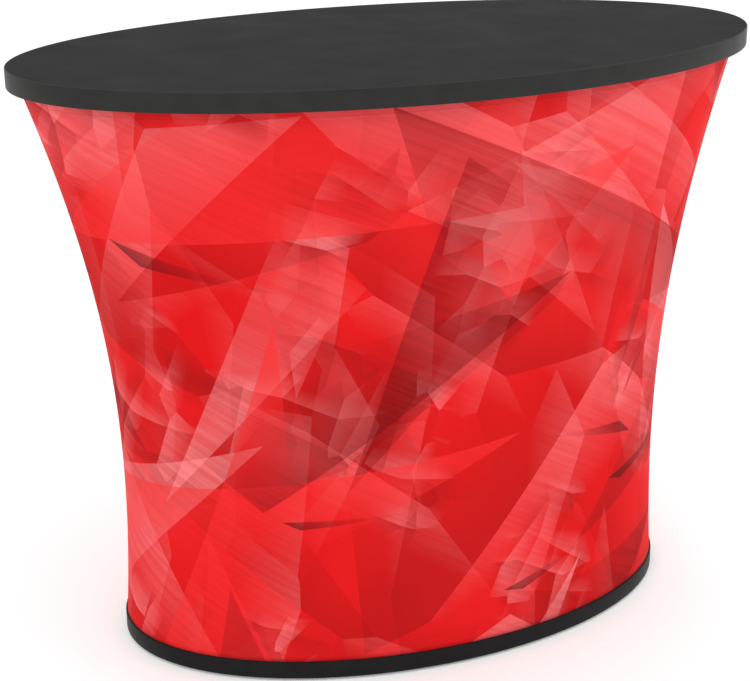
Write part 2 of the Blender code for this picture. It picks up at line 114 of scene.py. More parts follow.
def setCamera():
    azimuth, elevation, roll = (math.radians(view[key]) for key in ("azimuth", "elevation", "roll"))
    back = Vector((
        math.sin(azimuth) * math.cos(elevation),
        -math.cos(azimuth) * math.cos(elevation),
        math.sin(elevation),
    ))
    side = (-back).cross(Vector((0, 0, 1))).normalized()
    up = side.cross(-back)
    right = side * math.cos(roll) + up * math.sin(roll)
    above = up * math.cos(roll) - side * math.sin(roll)
    data = bpy.data.cameras.new("camera")
    data.lens = view["lens"]
    data.sensor_width = 36
    camera = bpy.data.objects.new("camera", data)
    turn = Matrix((right, above, back)).transposed().to_4x4()
    camera.matrix_world = Matrix.Translation(Vector(view["aim"]) + back * view["distance"]) @ turn
    bpy.context.scene.collection.objects.link(camera)
    bpy.context.scene.camera = camera


setCamera()
print("camera placed")


# Mesh helpers

def addObject(name, mesh, material):
    data = bpy.data.meshes.new(name)
    mesh.to_mesh(data)
    mesh.free()
    data.materials.append(material)
    made = bpy.data.objects.new(name, data)
    bpy.context.scene.collection.objects.link(made)
    return made


def addPiece(name, mesh, material, body, stands=(), closed=True):
    if closed:
        bmesh.ops.remove_doubles(mesh, verts=mesh.verts, dist=0.000002)
        bmesh.ops.recalc_face_normals(mesh, faces=mesh.faces)
    piece = addObject(name, mesh, material)
    for polygon in piece.data.polygons:
        polygon.use_smooth = True
    piece.data.set_sharp_from_angle(angle=math.radians(32))
    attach(piece, body)
    if stands:
        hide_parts(*stands)
    return piece


def edgesOf(verts):
    # in the order in which they are met, so that each run draws the same mesh
    return list(dict.fromkeys(edge for vertex in verts for edge in vertex.link_edges))


def ovalWall(mesh, stations, steps=192):
    # draws an oval through stations of (half width, half depth, height), and gives its end loops
    halfWidth, halfDepth, height = stations[0]
    place = Matrix.Translation((0, 0, height)) @ Matrix.Diagonal((halfWidth, halfDepth, 1, 1))
    made = bmesh.ops.create_circle(mesh, cap_ends=False, segments=steps, radius=1, matrix=place)
    first = loop = edgesOf(made["verts"])
    for before, after in zip(stations, stations[1:]):
        drawn = bmesh.ops.extrude_edge_only(mesh, edges=loop)["geom"]
        points = [item for item in drawn if isinstance(item, bmesh.types.BMVert)]
        loop = [item for item in drawn if isinstance(item, bmesh.types.BMEdge) and item.is_boundary]
        bmesh.ops.scale(mesh, vec=(after[0] / before[0], after[1] / before[1], 1), verts=points)
        bmesh.ops.translate(mesh, vec=(0, 0, after[2] - before[2]), verts=points)
    return first, loop


def easeEdges(mesh, edges, size, segments):
    bmesh.ops.bevel(
        mesh, geom=edges, offset=size, offset_type="OFFSET", segments=segments, profile=0.5,
        affect="EDGES", clamp_overlap=True, material=-1,
    )


def easeCorners(mesh, size, segments, picks=lambda edge: True):
    # eases every edge that turns by more than 40 degrees
    easeEdges(mesh, [
        edge for edge in mesh.edges
        if len(edge.link_faces) == 2 and edge.calc_face_angle() > 0.7 and picks(edge)
    ], size, segments)


def addLathe(mesh, profile, place=None, ring=False, steps=48):
    # spins (radius, height) points about Z; a ring's profile closes on itself
    before = set(mesh.verts)
    points = [mesh.verts.new((radius, 0, height)) for radius, height in profile]
    edges = [mesh.edges.new(pair) for pair in zip(points, points[1:])]
    if ring:
        edges.append(mesh.edges.new((points[-1], points[0])))
    bmesh.ops.spin(
        mesh, geom=points + edges, cent=(0, 0, 0), axis=(0, 0, 1), angle=2 * math.pi,
        steps=steps, use_merge=True,
    )
    made = [vertex for vertex in mesh.verts if vertex not in before]
    bmesh.ops.remove_doubles(mesh, verts=made, dist=0.00001)
    if place:
        made = [vertex for vertex in mesh.verts if vertex not in before]
        bmesh.ops.transform(mesh, matrix=place, verts=made)


def addBox(mesh, low, high, easing=0.0, segments=2):
    centre = [(a + b) / 2 for a, b in zip(low, high)]
    size = [b - a for a, b in zip(low, high)]
    place = Matrix.Translation(centre) @ Matrix.Diagonal((*size, 1))
    made = bmesh.ops.create_cube(mesh, size=1, matrix=place)["verts"]
    if easing:
        easeEdges(mesh, edgesOf(made), easing, segments)


def addPlate(mesh, low, high, corner, segments):
    # the first form of a mesh: a plate that faces +Y, with a rounded outline
    addBox(mesh, low, high)
    across = [edge for edge in mesh.edges if abs((edge.verts[0].co - edge.verts[1].co).y) > 0.001]
    easeEdges(mesh, across, corner, segments)


def thicken(piece, thickness):
    # gives a sheet its thickness, inwards from the face that shows
    solidify = piece.modifiers.new("thickness", "SOLIDIFY")
    solidify.thickness = thickness
    solidify.offset = -1


def moveMesh(mesh, place):
    bmesh.ops.transform(mesh, matrix=place, verts=mesh.verts)


def smoothCopy(node, material, body, easing=0.0):
    # a merged copy of a solid whose shape is right, drawn smooth and with its corners eased
    mesh = bmesh.new()
    mesh.from_mesh(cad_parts[node].data)
    bmesh.ops.remove_doubles(mesh, verts=mesh.verts, dist=0.00001)
    bmesh.ops.dissolve_limit(
        mesh, angle_limit=math.radians(1), use_dissolve_boundaries=False, verts=mesh.verts,
        edges=mesh.edges, delimit={"NORMAL"},
    )
    piece = addPiece("finished_" + node, mesh, material, body, [node])
    if easing:
        bevel = piece.modifiers.new("eased corners", "BEVEL")
        bevel.width = easing
        bevel.segments = 2
        bevel.limit_method = "ANGLE"
        bevel.angle_limit = math.radians(40)
    return piece


# Sleeve of printed stretch polyester

sleeve = {
    "baseWidth": 0.994,
    "baseDepth": 0.594,
    "topWidth": 1.230,
    "topDepth": 0.634,
    "foot": 0.0345,  # height of the base's upper face
    "rise": 0.9345,
    "low": 0.0348,
    "high": 0.9684,
    "endCurve": (-0.622, 0.890, 1.365, -0.633),
    "thickness": 0.001,
    "slitLow": 0.1195,
    "slitHigh": 0.9293,
    "slitWidth": 0.010,
    "around": 320,
    "up": 80,
}

printDesign = {
    "ground": "#d61216",
    "bright": "#ec2b2e",
    "light": "#f78b8d",
    "dark": "#96100f",
    "deep": "#640a0e",
    "ink": "#330c10",
    "seed": 23,
    "cutWidth": 2.76,  # metres round, at the middle of the height
    "edgeSoftness": 1.4,  # mm, how far the ink spreads at the edge of a form
    "cloud": 590,  # mm, slow change of the ground
    "patch": 300,  # mm, where the small facets gather
    "streak": (420, 10),  # mm along and across
    "streakTurn": -27,
    "course": 2.6,  # mm; real courses are 0.4 mm apart, and this is the finest that shows from 3 m
    "hem": 17,  # mm of doubled cloth at either edge
    "seam": 1.3,  # mm, half the width of the groove at the back, where the ends of the print meet
    "pucker": (60, 15),  # mm across and along the zip
    "puckerReach": 55,  # mm from the zip
}

facetLayers = [  # turn in degrees, size in mm; fade is the way in which a facet grows lighter
    {"turn": 34, "size": (620, 200), "fade": (0.3, 1.0), "light": 0.40, "dark": 0.50, "gathered": False},
    {"turn": -41, "size": (460, 150), "fade": (-0.4, 0.9), "light": 0.40, "dark": 0.44, "gathered": False},
    {"turn": 82, "size": (300, 110), "fade": (0.5, -0.9), "light": 0.24, "dark": 0.30, "gathered": False},
    {"turn": -19, "size": (165, 52), "fade": (0.2, -1.0), "light": 0.44, "dark": 0.56, "gathered": True},
    {"turn": 58, "size": (120, 44), "fade": (-0.6, 0.8), "light": 0.36, "dark": 0.46, "gathered": True},
]

wedges = {
    "count": 42,
    "headings": (18, 64, 118, 157, 201, 246, 292, 334),  # degrees
    "spread": 14,  # degrees by which a heading may differ
    "opening": (6, 19),  # degrees to either side
    "length": (0.25, 0.80),
    "slant": 38,  # degrees by which the far end may slant
    "tones": ("light", "bright", "dark", "light", "bright", "deep"),
    "strength": {"light": 0.60, "bright": 0.62, "dark": 0.66, "deep": 0.52},
}

slivers = {
    "count": 10,
    "headings": (-14, 4, 12, 166, 188, 196),
    "spread": 6,
    "opening": (1.6, 3.2),
    "length": (0.08, 0.16),
    "height": (0.10, 0.88),
    "strength": (0.70, 0.10),  # at the tip and at the far end
}


def printedWedge(tree, plane, apex, heading, opening, length, tilt):
    # a straight-edged wedge: inside all three half planes; gives its mask and the ways in from them
    sides = []
    for turn in (-opening, opening):
        edge = heading + turn
        sides.append(Vector((-math.sin(edge), math.cos(edge))) * (1 if turn < 0 else -1))
    far = -Vector((math.cos(heading + tilt), math.sin(heading + tilt)))
    reaches = [-normal.dot(apex) for normal in sides] + [length - far.dot(apex)]
    ways = [
        addNode(tree, "VectorMath", {"operation": "DOT_PRODUCT"}, {0: plane, 1: (normal.x, normal.y, reach)})
        for normal, reach in zip(sides + [far], reaches)
    ]
    nearest = addNode(tree, "Math", {"operation": "MINIMUM"}, {0: ways[0], 1: ways[1]})
    nearest = addNode(tree, "Math", {"operation": "MINIMUM"}, {0: nearest, 1: ways[2]})
    softness = printDesign["edgeSoftness"] / 1000
    return addNode(tree, "MapRange", {}, {0: nearest, 2: softness}), ways


def addFacets(tree, cloth, colour, streaks):
    # polygons that lie over each other in layers; in the gathered layers they show only here and there
    patch = addNode(tree, "TexNoise", {"noise_dimensions": "2D"}, {
        "Vector": cloth, "Scale": 1000 / printDesign["patch"], "Detail": 1.0,
    })
    patch = addNode(tree, "MapRange", {}, {0: patch, 1: 0.50, 2: 0.61})
    for layer in facetLayers:
        placed = addNode(tree, "Mapping", {"vector_type": "TEXTURE"}, {
            "Vector": cloth,
            "Rotation": (0, 0, math.radians(layer["turn"])),
            "Scale": (layer["size"][0] / 1000, layer["size"][1] / 1000, 1),
        })
        facet = addNode(tree, "TexVoronoi", {"voronoi_dimensions": "2D"}, {"Vector": placed, "Scale": 1.0})
        level = addNode(tree, "SeparateColor", {}, {0: facet.outputs["Color"]})
        within = addNode(tree, "VectorMath", {"operation": "SUBTRACT"}, {0: placed, 1: facet.outputs["Position"]})
        slope = addNode(tree, "VectorMath", {"operation": "DOT_PRODUCT"}, {0: within, 1: (*layer["fade"], 0)})
        value = addNode(tree, "Math", {"operation": "MULTIPLY_ADD"}, {0: slope, 1: 0.45, 2: level})
        light = addNode(tree, "MapRange", {}, {0: value, 1: 0.66, 2: 1.2, 4: layer["light"]})
        light = addNode(tree, "Math", {"operation": "MULTIPLY"}, {0: light, 1: streaks})
        dark = addNode(tree, "MapRange", {}, {0: value, 1: 0.36, 2: -0.2, 4: layer["dark"]})
        if layer["gathered"]:
            light = addNode(tree, "Math", {"operation": "MULTIPLY"}, {0: light, 1: patch})
            dark = addNode(tree, "Math", {"operation": "MULTIPLY"}, {0: dark, 1: patch})
        colour = addNode(tree, "Mix", {}, {0: light, 6: colour, 7: printDesign["light"]})
        colour = addNode(tree, "Mix", {}, {0: dark, 6: colour, 7: printDesign["dark"]})
    return colour


def addWedges(tree, plane, colour, streaks):
    chance = random.Random(printDesign["seed"])
    around, count, spread, slant = printDesign["cutWidth"], wedges["count"], wedges["spread"], wedges["slant"]
    for index in range(count):
        apex = Vector((around * (index + chance.random()) / count, chance.random()))
        heading = math.radians(chance.choice(wedges["headings"]) + chance.uniform(-spread, spread))
        length = chance.uniform(*wedges["length"])
        opening = math.radians(chance.uniform(*wedges["opening"]))
        far = math.radians(chance.uniform(-slant, slant))
        mask, ways = printedWedge(tree, plane, apex, heading, opening, length, far)
        kind = wedges["tones"][index % len(wedges["tones"])]
        strength = wedges["strength"][kind]
        if index % 3:  # strongest along one side, where the next facet begins
            way, reach, near, away = ways[index % 2], length * math.sin(opening) * 1.3, strength, 0.03
        else:
            way, reach, near, away = ways[2], length, 0.04, strength
        share = addNode(tree, "MapRange", {}, {0: way, 2: reach, 3: near, 4: away})
        share = addNode(tree, "Math", {"operation": "MULTIPLY"}, {0: mask, 1: share})
        share = addNode(tree, "Math", {"operation": "MULTIPLY"}, {0: share, 1: streaks})
        colour = addNode(tree, "Mix", {}, {0: share, 6: colour, 7: printDesign[kind]})
    return colour


def addSlivers(tree, plane, colour):
    # the thin dark splinters between facets
    chance = random.Random(printDesign["seed"] + 1)
    around, count, spread = printDesign["cutWidth"], slivers["count"], slivers["spread"]
    tip, far = slivers["strength"]
    for index in range(count):
        apex = Vector((around * (index + chance.random()) / count, chance.uniform(*slivers["height"])))
        heading = math.radians(chance.choice(slivers["headings"]) + chance.uniform(-spread, spread))
        length = chance.uniform(*slivers["length"])
        opening = math.radians(chance.uniform(*slivers["opening"]))
        mask, ways = printedWedge(tree, plane, apex, heading, opening, length, 1.1)
        share = addNode(tree, "MapRange", {}, {0: ways[2], 2: length * 0.6, 3: tip, 4: far})
        share = addNode(tree, "Math", {"operation": "MULTIPLY"}, {0: mask, 1: share})
        colour = addNode(tree, "Mix", {}, {0: share, 6: colour, 7: printDesign["ink"]})
    return colour


def printedPolyester():
    # Warp-knit polyester with elastane, dye-sublimation printed: matt, soft, with the colour in the yarn
    material, tree, shader = startMaterial("printed_stretch_polyester", {
        "Roughness": 0.8, "Specular IOR Level": 0.06, "Sheen Weight": 0.01, "Sheen Roughness": 0.5,
    })
    cloth = addNode(tree, "UVMap", {"uv_map": "cut"}, {})
    plane = addNode(tree, "VectorMath", {"operation": "ADD"}, {0: cloth, 1: (0, 0, 1)})  # for ways in from a line
    slow = addNode(tree, "TexNoise", {"noise_dimensions": "2D"}, {
        "Vector": cloth, "Scale": 1000 / printDesign["cloud"], "Roughness": 0.4,
    })
    slow = addNode(tree, "MapRange", {}, {0: slow, 1: 0.40, 2: 0.66, 4: 0.45})
    colour = addNode(tree, "Mix", {}, {0: slow, 6: printDesign["ground"], 7: printDesign["bright"]})
    along, across = (size / 1000 for size in printDesign["streak"])
    streaks = addNode(tree, "Mapping", {"vector_type": "TEXTURE"}, {
        "Vector": cloth, "Rotation": (0, 0, math.radians(printDesign["streakTurn"])), "Scale": (along, across, 1),
    })
    streaks = addNode(tree, "TexNoise", {"noise_dimensions": "2D"}, {
        "Vector": streaks, "Scale": 1.0, "Detail": 3.0, "Roughness": 0.55,
    })
    streaks = addNode(tree, "MapRange", {}, {0: streaks, 1: 0.3, 2: 0.7, 3: 0.66, 4: 1.14})
    colour = addFacets(tree, cloth, colour, streaks)
    colour = addWedges(tree, plane, colour, streaks)
    colour = addSlivers(tree, plane, colour)

    # the hems: how far in from the nearer edge, and the step of the doubled cloth
    place = addNode(tree, "SeparateXYZ", {}, {0: cloth})
    fromLow = addNode(tree, "Math", {"operation": "SUBTRACT"}, {0: place.outputs["Y"], 1: sleeve["low"]})
    fromHigh = addNode(tree, "Math", {"operation": "SUBTRACT"}, {0: sleeve["high"], 1: place.outputs["Y"]})
    inward = addNode(tree, "Math", {"operation": "MINIMUM"}, {0: fromLow, 1: fromHigh})
    hem = printDesign["hem"] / 1000
    doubled = addNode(tree, "MapRange", {}, {0: inward, 1: hem, 2: hem + 0.001, 3: 1.0, 4: 0.0})

    # the seam down the back, with painted shade in its groove, and the cloth drawn in a little by the sewing of the zip
    ends = addNode(tree, "Math", {"operation": "PINGPONG"}, {0: place.outputs["X"], 1: printDesign["cutWidth"] / 2})
    seam = addNode(tree, "MapRange", {}, {0: ends, 2: printDesign["seam"] / 1000})
    # painted shade: the groove is darkened towards the deep red, most at its middle
    shade = addNode(tree, "MapRange", {}, {0: seam, 3: 0.45, 4: 0.0})
    colour = addNode(tree, "Mix", {}, {0: shade, 6: colour, 7: printDesign["deep"]})
    across, along = (1000 / size for size in printDesign["pucker"])
    puckers = addNode(tree, "Mapping", {}, {"Vector": cloth, "Scale": (across, along, 1)})
    puckers = addNode(tree, "TexNoise", {"noise_dimensions": "2D"}, {"Vector": puckers, "Scale": 1.0, "Detail": 1.0})
    near = addNode(tree, "MapRange", {}, {0: ends, 2: printDesign["puckerReach"] / 1000, 3: 1.0, 4: 0.0})
    puckers = addNode(tree, "Math", {"operation": "MULTIPLY"}, {0: puckers, 1: near})

    # knit courses and wales
    knit = 0.0
    for axis in ("X", "Y"):
        wave = addNode(tree, "TexWave", {"bands_direction": axis}, {
            "Vector": cloth, "Scale": 2 * math.pi / (printDesign["course"] / 1000) / 20,
        })
        knit = addNode(tree, "Math", {"operation": "ADD"}, {0: wave.outputs["Fac"], 1: knit})
    weave = addNode(tree, "MapRange", {}, {0: knit, 1: 0.2, 2: 1.2, 3: 0.10, 4: 0.0})
    colour = addNode(tree, "Mix", {}, {0: weave, 6: colour, 7: printDesign["deep"]})
    bump = addNode(tree, "Bump", {}, {"Height": knit, "Distance": 0.0002, "Strength": 0.35})
    bump = addNode(tree, "Bump", {}, {"Height": doubled, "Distance": 0.0008, "Strength": 0.6, "Normal": bump})
    bump = addNode(tree, "Bump", {}, {"Height": seam, "Distance": 0.0008, "Strength": 0.7, "Normal": bump})
    bump = addNode(tree, "Bump", {}, {"Height": puckers, "Distance": 0.0016, "Strength": 0.7, "Normal": bump})
    fillSockets(tree, shader, {"Base Color": colour, "Normal": bump})
    return material


def sleeveOval(height, inset=0.0):
    share = (height - sleeve["foot"]) / sleeve["rise"]
    curve = sum(part * share ** (power + 1) for power, part in enumerate(sleeve["endCurve"]))
    width = sleeve["baseWidth"] + (sleeve["topWidth"] - sleeve["baseWidth"]) * curve
    depth = sleeve["baseDepth"] + (sleeve["topDepth"] - sleeve["baseDepth"]) * share
    return width / 2 - inset, depth / 2 - inset


def sleeveHeight(share):
    # rows of the cloth: a tenth below the zip's slit, a tenth above it, the rest along it
    stops = ((0.0, sleeve["low"]), (0.1, sleeve["slitLow"]), (0.9, sleeve["slitHigh"]), (1.0, sleeve["high"]))
    for (before, low), (after, high) in zip(stops, stops[1:]):
        if share <= after + 1e-6:
            return low + (high - low) * (share - before) / (after - before)


def wayRound(finer=8):
    # how far round the cloth each column of the grid lies, in metres, at the middle of its height
    halfWidth, halfDepth = sleeveOval(0.5)
    lengths = [0.0]
    for step in range(sleeve["around"] * finer):
        turn = 2 * math.pi * (step + 0.5) / (sleeve["around"] * finer)
        lengths.append(lengths[-1] + math.hypot(halfWidth * math.cos(turn), halfDepth * math.sin(turn)))
    return [length / lengths[-1] * printDesign["cutWidth"] for length in lengths[::finer]]


def buildSleeve(material):
    mesh = bmesh.new()
    uvLayer = mesh.loops.layers.uv.new("cut")
    bmesh.ops.create_grid(mesh, x_segments=sleeve["around"], y_segments=sleeve["up"], size=0.5)
    columns = wayRound()
    for face in mesh.faces:
        for loop in face.loops:
            across, height = loop.vert.co.x + 0.5, sleeveHeight(loop.vert.co.y + 0.5)
            loop[uvLayer].uv = (columns[round(across * sleeve["around"])], height)
    for vertex in mesh.verts:
        across, height = vertex.co.x + 0.5, sleeveHeight(vertex.co.y + 0.5)
        halfWidth, halfDepth = sleeveOval(height)
        turn = 2 * math.pi * across
        x = -halfWidth * math.sin(turn)
        if sleeve["slitLow"] + 0.001 < height < sleeve["slitHigh"] - 0.001:
            if across < 0.0001:
                x = -sleeve["slitWidth"] / 2
            elif across > 0.9999:
                x = sleeve["slitWidth"] / 2
        vertex.co = (x, halfDepth * math.cos(turn), height)
    bmesh.ops.remove_doubles(mesh, verts=mesh.verts, dist=0.00001)
    piece = addPiece(
        "printed_sleeve", mesh, material, "frame", ["fabric_sleeve"], closed=False,
    )
    thicken(piece, sleeve["thickness"])
    return piece


hemSeam = {
    "inset": 0.014,  # from the edge of the cloth
    "pitch": 0.0036,
    "stitchSize": (0.0013, 0.0004, 0.00045),  # half sizes: along the row, through the cloth and up it
    "depth": 0.0002,  # of a stitch's middle under the face of the cloth
}


def buildHemStitches(material):
    # one row round either edge; each stitch is a step further round the oval
    mesh = bmesh.new()
    for height in (sleeve["low"] + hemSeam["inset"], sleeve["high"] - hemSeam["inset"]):
        halfWidth, halfDepth = sleeveOval(height, hemSeam["depth"])
        turn = 0.0
        while turn < 2 * math.pi:
            along = Vector((-halfWidth * math.cos(turn), -halfDepth * math.sin(turn)))
            place = Matrix.Translation((-halfWidth * math.sin(turn), halfDepth * math.cos(turn), height))
            place = place @ Matrix.Rotation(math.atan2(along.y, along.x), 4, "Z")
            place = place @ Matrix.Diagonal((*hemSeam["stitchSize"], 1))
            bmesh.ops.create_icosphere(mesh, subdivisions=1, radius=1, matrix=place)
            turn += hemSeam["pitch"] / along.length
    return addPiece("hem_stitching", mesh, material, "frame")


# Counter top: fibreboard faced with laminate, edged with plastic

counterTop = {
    "width": 1.270, "depth": 0.700, "low": 0.969, "high": 1.000, "band": 0.002, "gap": 0.0002, "easing": 0.0016,
}
baseBoard = {
    "width": 1.000, "depth": 0.600, "low": 0.0045, "high": 0.0345, "band": 0.002, "gap": 0.0002, "easing": 0.0016,
}


laminateGrain = {"cloud": 110, "grit": 2.4, "pebble": 1.9}  # mm; drawn coarse enough to show from 3 m
edgingGrain = {"scuff": 38, "line": 1.1, "lineLength": 330}  # mm
boardGrain = {"grit": 3.3, "dust": 83}  # mm


def charcoalLaminate():
    # High-pressure laminate, pressed against a fine matt plate: even and dull, with a very shallow pebble
    material, tree, shader, place = startSurface("charcoal_pressed_laminate", {"Specular IOR Level": 0.06, "IOR": 1.5})
    cloud = addNode(tree, "TexNoise", {}, {
        "Vector": place, "Scale": 1000 / laminateGrain["cloud"], "Detail": 4.0, "Roughness": 0.6,
    })
    grit = addNode(tree, "TexNoise", {}, {"Vector": place, "Scale": 1000 / laminateGrain["grit"]})
    share = addNode(tree, "Math", {"operation": "ADD"}, {0: cloud, 1: grit})
    share = addNode(tree, "MapRange", {}, {0: share, 1: 0.7, 2: 1.3})
    colour = addNode(tree, "Mix", {}, {0: share, 6: "#1d1d1d", 7: "#212121"})
    pebble = addNode(tree, "TexVoronoi", {"feature": "SMOOTH_F1"}, {
        "Vector": place, "Scale": 1000 / laminateGrain["pebble"], "Smoothness": 0.6,
    })
    endSurface(tree, shader, colour, (cloud, 0.3, 0.7, 0.62, 0.72), (pebble, 0.00006, 0.25))
    return material


def extrudedEdging(name, upper, lower, gloss):
    # ABS edging, extruded and glued on: satin, with faint lines along it, and rubbed paler at its eased corners
    material, tree, shader, place = startSurface(name, {"IOR": 1.53, "Specular IOR Level": gloss})
    along, across = 1000 / edgingGrain["lineLength"], 1000 / edgingGrain["line"]
    lines = addNode(tree, "Mapping", {}, {"Vector": place, "Scale": (along, along, across)})
    lines = addNode(tree, "TexNoise", {}, {"Vector": lines, "Scale": 1.0})
    scuff = addNode(tree, "TexNoise", {}, {
        "Vector": place, "Scale": 1000 / edgingGrain["scuff"], "Detail": 5.0, "Roughness": 0.65,
    })
    share = addNode(tree, "MapRange", {}, {0: scuff, 1: 0.35, 2: 0.7})
    colour = addNode(tree, "Mix", {}, {0: share, 6: lower, 7: upper})
    corner = addNode(tree, "NewGeometry", {}, {}).outputs["Pointiness"]
    corner = addNode(tree, "MapRange", {}, {0: corner, 1: 0.53, 2: 0.60, 4: 0.35})
    worn = addNode(tree, "Math", {"operation": "MULTIPLY"}, {0: corner, 1: share})
    colour = addNode(tree, "Mix", {}, {0: worn, 6: colour, 7: "#4a4a4b"})
    endSurface(tree, shader, colour, (scuff, 0.3, 0.75, 0.40, 0.54), (lines, 0.00005, 0.25))
    return material


def buildEdging(board, name, node, material, body):
    halfWidth, halfDepth, band = board["width"] / 2, board["depth"] / 2, board["band"]
    mesh = bmesh.new()
    ring = [
        (halfWidth, halfDepth, board["low"]),
        (halfWidth, halfDepth, board["high"]),
        (halfWidth - band, halfDepth - band, board["high"]),
        (halfWidth - band, halfDepth - band, board["low"]),
    ]
    ovalWall(mesh, ring + ring[:1], 256)
    bmesh.ops.remove_doubles(mesh, verts=mesh.verts, dist=0.00001)
    easeCorners(mesh, board["easing"], 4, lambda edge: all(  # only the two outer corners
        math.hypot(vertex.co.x / halfWidth, vertex.co.y / halfDepth) > 0.9995 for vertex in edge.verts
    ))
    addPiece(name, mesh, material, body, [node])


def buildBoard(board, name, node, material, body):
    inset = board["band"] + board["gap"]
    mesh = bmesh.new()
    loops = ovalWall(mesh, [
        (board["width"] / 2 - inset, board["depth"] / 2 - inset, board[key]) for key in ("low", "high")
    ], 256)
    for loop in loops:
        bmesh.ops.edgeloop_fill(mesh, edges=loop)
    easeCorners(mesh, 0.0003, 1)
    addPiece(name, mesh, material, body, [node])


def blackMelamine():
    # Chipboard faced with melamine paper: matt black, with a fine even grain and a little dust in it
    material, tree, shader, place = startSurface("black_melamine_board", {"IOR": 1.5, "Specular IOR Level": 0.2})
    grit = addNode(tree, "TexNoise", {}, {
        "Vector": place, "Scale": 1000 / boardGrain["grit"], "Detail": 3.0, "Roughness": 0.6,
    })
    dust = addNode(tree, "TexNoise", {}, {
        "Vector": place, "Scale": 1000 / boardGrain["dust"], "Detail": 5.0, "Roughness": 0.7,
    })
    colour = addNode(tree, "Mix", {}, {0: grit, 6: "#141415", 7: "#1c1c1d"})
    endSurface(tree, shader, colour, (dust, 0.3, 0.7, 0.46, 0.62), (grit, 0.00006, 0.3))
    return material


charcoalTop = charcoalLaminate()
charcoalEdging = extrudedEdging("charcoal_extruded_edging", "#282827", "#222221", 0.15)
blackBoard = blackMelamine()
blackEdging = extrudedEdging("black_extruded_edging", "#19191a", "#131314", 0.10)
printedCloth = printedPolyester()

buildBoard(counterTop, "counter_top", "tabletop_panel", charcoalTop, "tabletop")
buildEdging(counterTop, "counter_top_edging", "tabletop_edge_band", charcoalEdging, "tabletop")
print("counter top built")
buildBoard(baseBoard, "base_board", "base_panel", blackBoard, "frame")
buildEdging(baseBoard, "base_board_edging", "base_edge_band", blackEdging, "frame")
print("base built")
sleevePiece = buildSleeve(printedCloth)
print("sleeve built")


woodGrain = {"width": 18, "length": 330, "ply": 1.4}  # mm
tubeGrain = {"line": 0.7, "lineLength": 200, "rub": 71}  # mm


def birchPlywood():
    # Birch plywood, rotary cut and waxed: pale flat grain, and thirteen thin plies along a cut edge
    material, tree, shader, place = startSurface("waxed_birch_plywood", {"IOR": 1.5, "Specular IOR Level": 0.35})
    along, across = 1000 / woodGrain["length"], 1000 / woodGrain["width"]
    grain = addNode(tree, "Mapping", {}, {"Vector": place, "Scale": (along, across, 1)})
    grain = addNode(tree, "TexNoise", {}, {"Vector": grain, "Scale": 1.0, "Detail": 6.0, "Distortion": 0.4})
    height = addNode(tree, "SeparateXYZ", {}, {0: place}).outputs["Z"]
    plies = addNode(tree, "Math", {"operation": "MULTIPLY"}, {0: height, 1: math.pi * 1000 / woodGrain["ply"]})
    plies = addNode(tree, "Math", {"operation": "SINE"}, {0: plies})
    plies = addNode(tree, "MapRange", {}, {0: plies, 1: -0.2, 2: 0.2, 4: 0.45})
    colour = addNode(tree, "Mix", {}, {0: grain, 6: "#c79a63", 7: "#e6c896"})
    colour = addNode(tree, "Mix", {}, {0: plies, 6: colour, 7: "#8a5f36"})
    endSurface(tree, shader, colour, (grain, 0.3, 0.7, 0.62, 0.48), (grain, 0.0001, 0.3))
    return material


def anodisedAluminium():
    # Drawn 6063 tube, clear anodised: pale satin metal with fine lines along the tube
    material, tree, shader, place = startSurface("clear_anodised_aluminium", {"Metallic": 1.0})
    across, along = 1000 / tubeGrain["line"], 1000 / tubeGrain["lineLength"]
    lines = addNode(tree, "Mapping", {}, {"Vector": place, "Scale": (across, across, along)})
    lines = addNode(tree, "TexNoise", {}, {"Vector": lines, "Scale": 1.0})
    rub = addNode(tree, "TexNoise", {}, {"Vector": place, "Scale": 1000 / tubeGrain["rub"], "Detail": 5.0})
    colour = addNode(tree, "Mix", {}, {0: lines, 6: "#c2c4c6", 7: "#dfe0e1"})
    endSurface(tree, shader, colour, (rub, 0.3, 0.7, 0.28, 0.42), (lines, 0.00002, 0.4))
    return material


def platedMetal(name, low, high, rough, grain):
    # Zinc or oxide over pressed or cast metal: grey with a faint mottle, brighter where hands rub its corners;
    # grain is the size of the mottle in mm
    material, tree, shader, place = startSurface(name, {"Metallic": 1.0})
    mottle = addNode(tree, "TexNoise", {}, {"Vector": place, "Scale": 1000 / grain, "Detail": 4.0, "Roughness": 0.6})
    colour = addNode(tree, "Mix", {}, {0: mottle, 6: low, 7: high})
    corner = addNode(tree, "NewGeometry", {}, {}).outputs["Pointiness"]
    corner = addNode(tree, "MapRange", {}, {0: corner, 1: 0.52, 2: 0.62, 4: 0.6})
    colour = addNode(tree, "Mix", {}, {0: corner, 6: colour, 7: "#d6d7d8"})
    endSurface(tree, shader, colour, (mottle, 0.3, 0.7, rough, rough + 0.14), (mottle, 0.00003, 0.3))
    return material


def mouldedPlastic(name, low, high, rough, etch, wear):
    # Injection-moulded plastic with an etched satin skin; etch and wear are the sizes of their marks in mm
    material, tree, shader, place = startSurface(name, {"IOR": 1.52, "Specular IOR Level": 0.4})
    skin = addNode(tree, "TexVoronoi", {"feature": "SMOOTH_F1"}, {
        "Vector": place, "Scale": 1000 / etch, "Smoothness": 0.5,
    })
    marks = addNode(tree, "TexNoise", {}, {"Vector": place, "Scale": 1000 / wear, "Detail": 4.0})
    colour = addNode(tree, "Mix", {}, {0: marks, 6: low, 7: high})
    endSurface(tree, shader, colour, (marks, 0.3, 0.7, rough, rough + 0.12), (skin, 0.00006, 0.35))
    return material


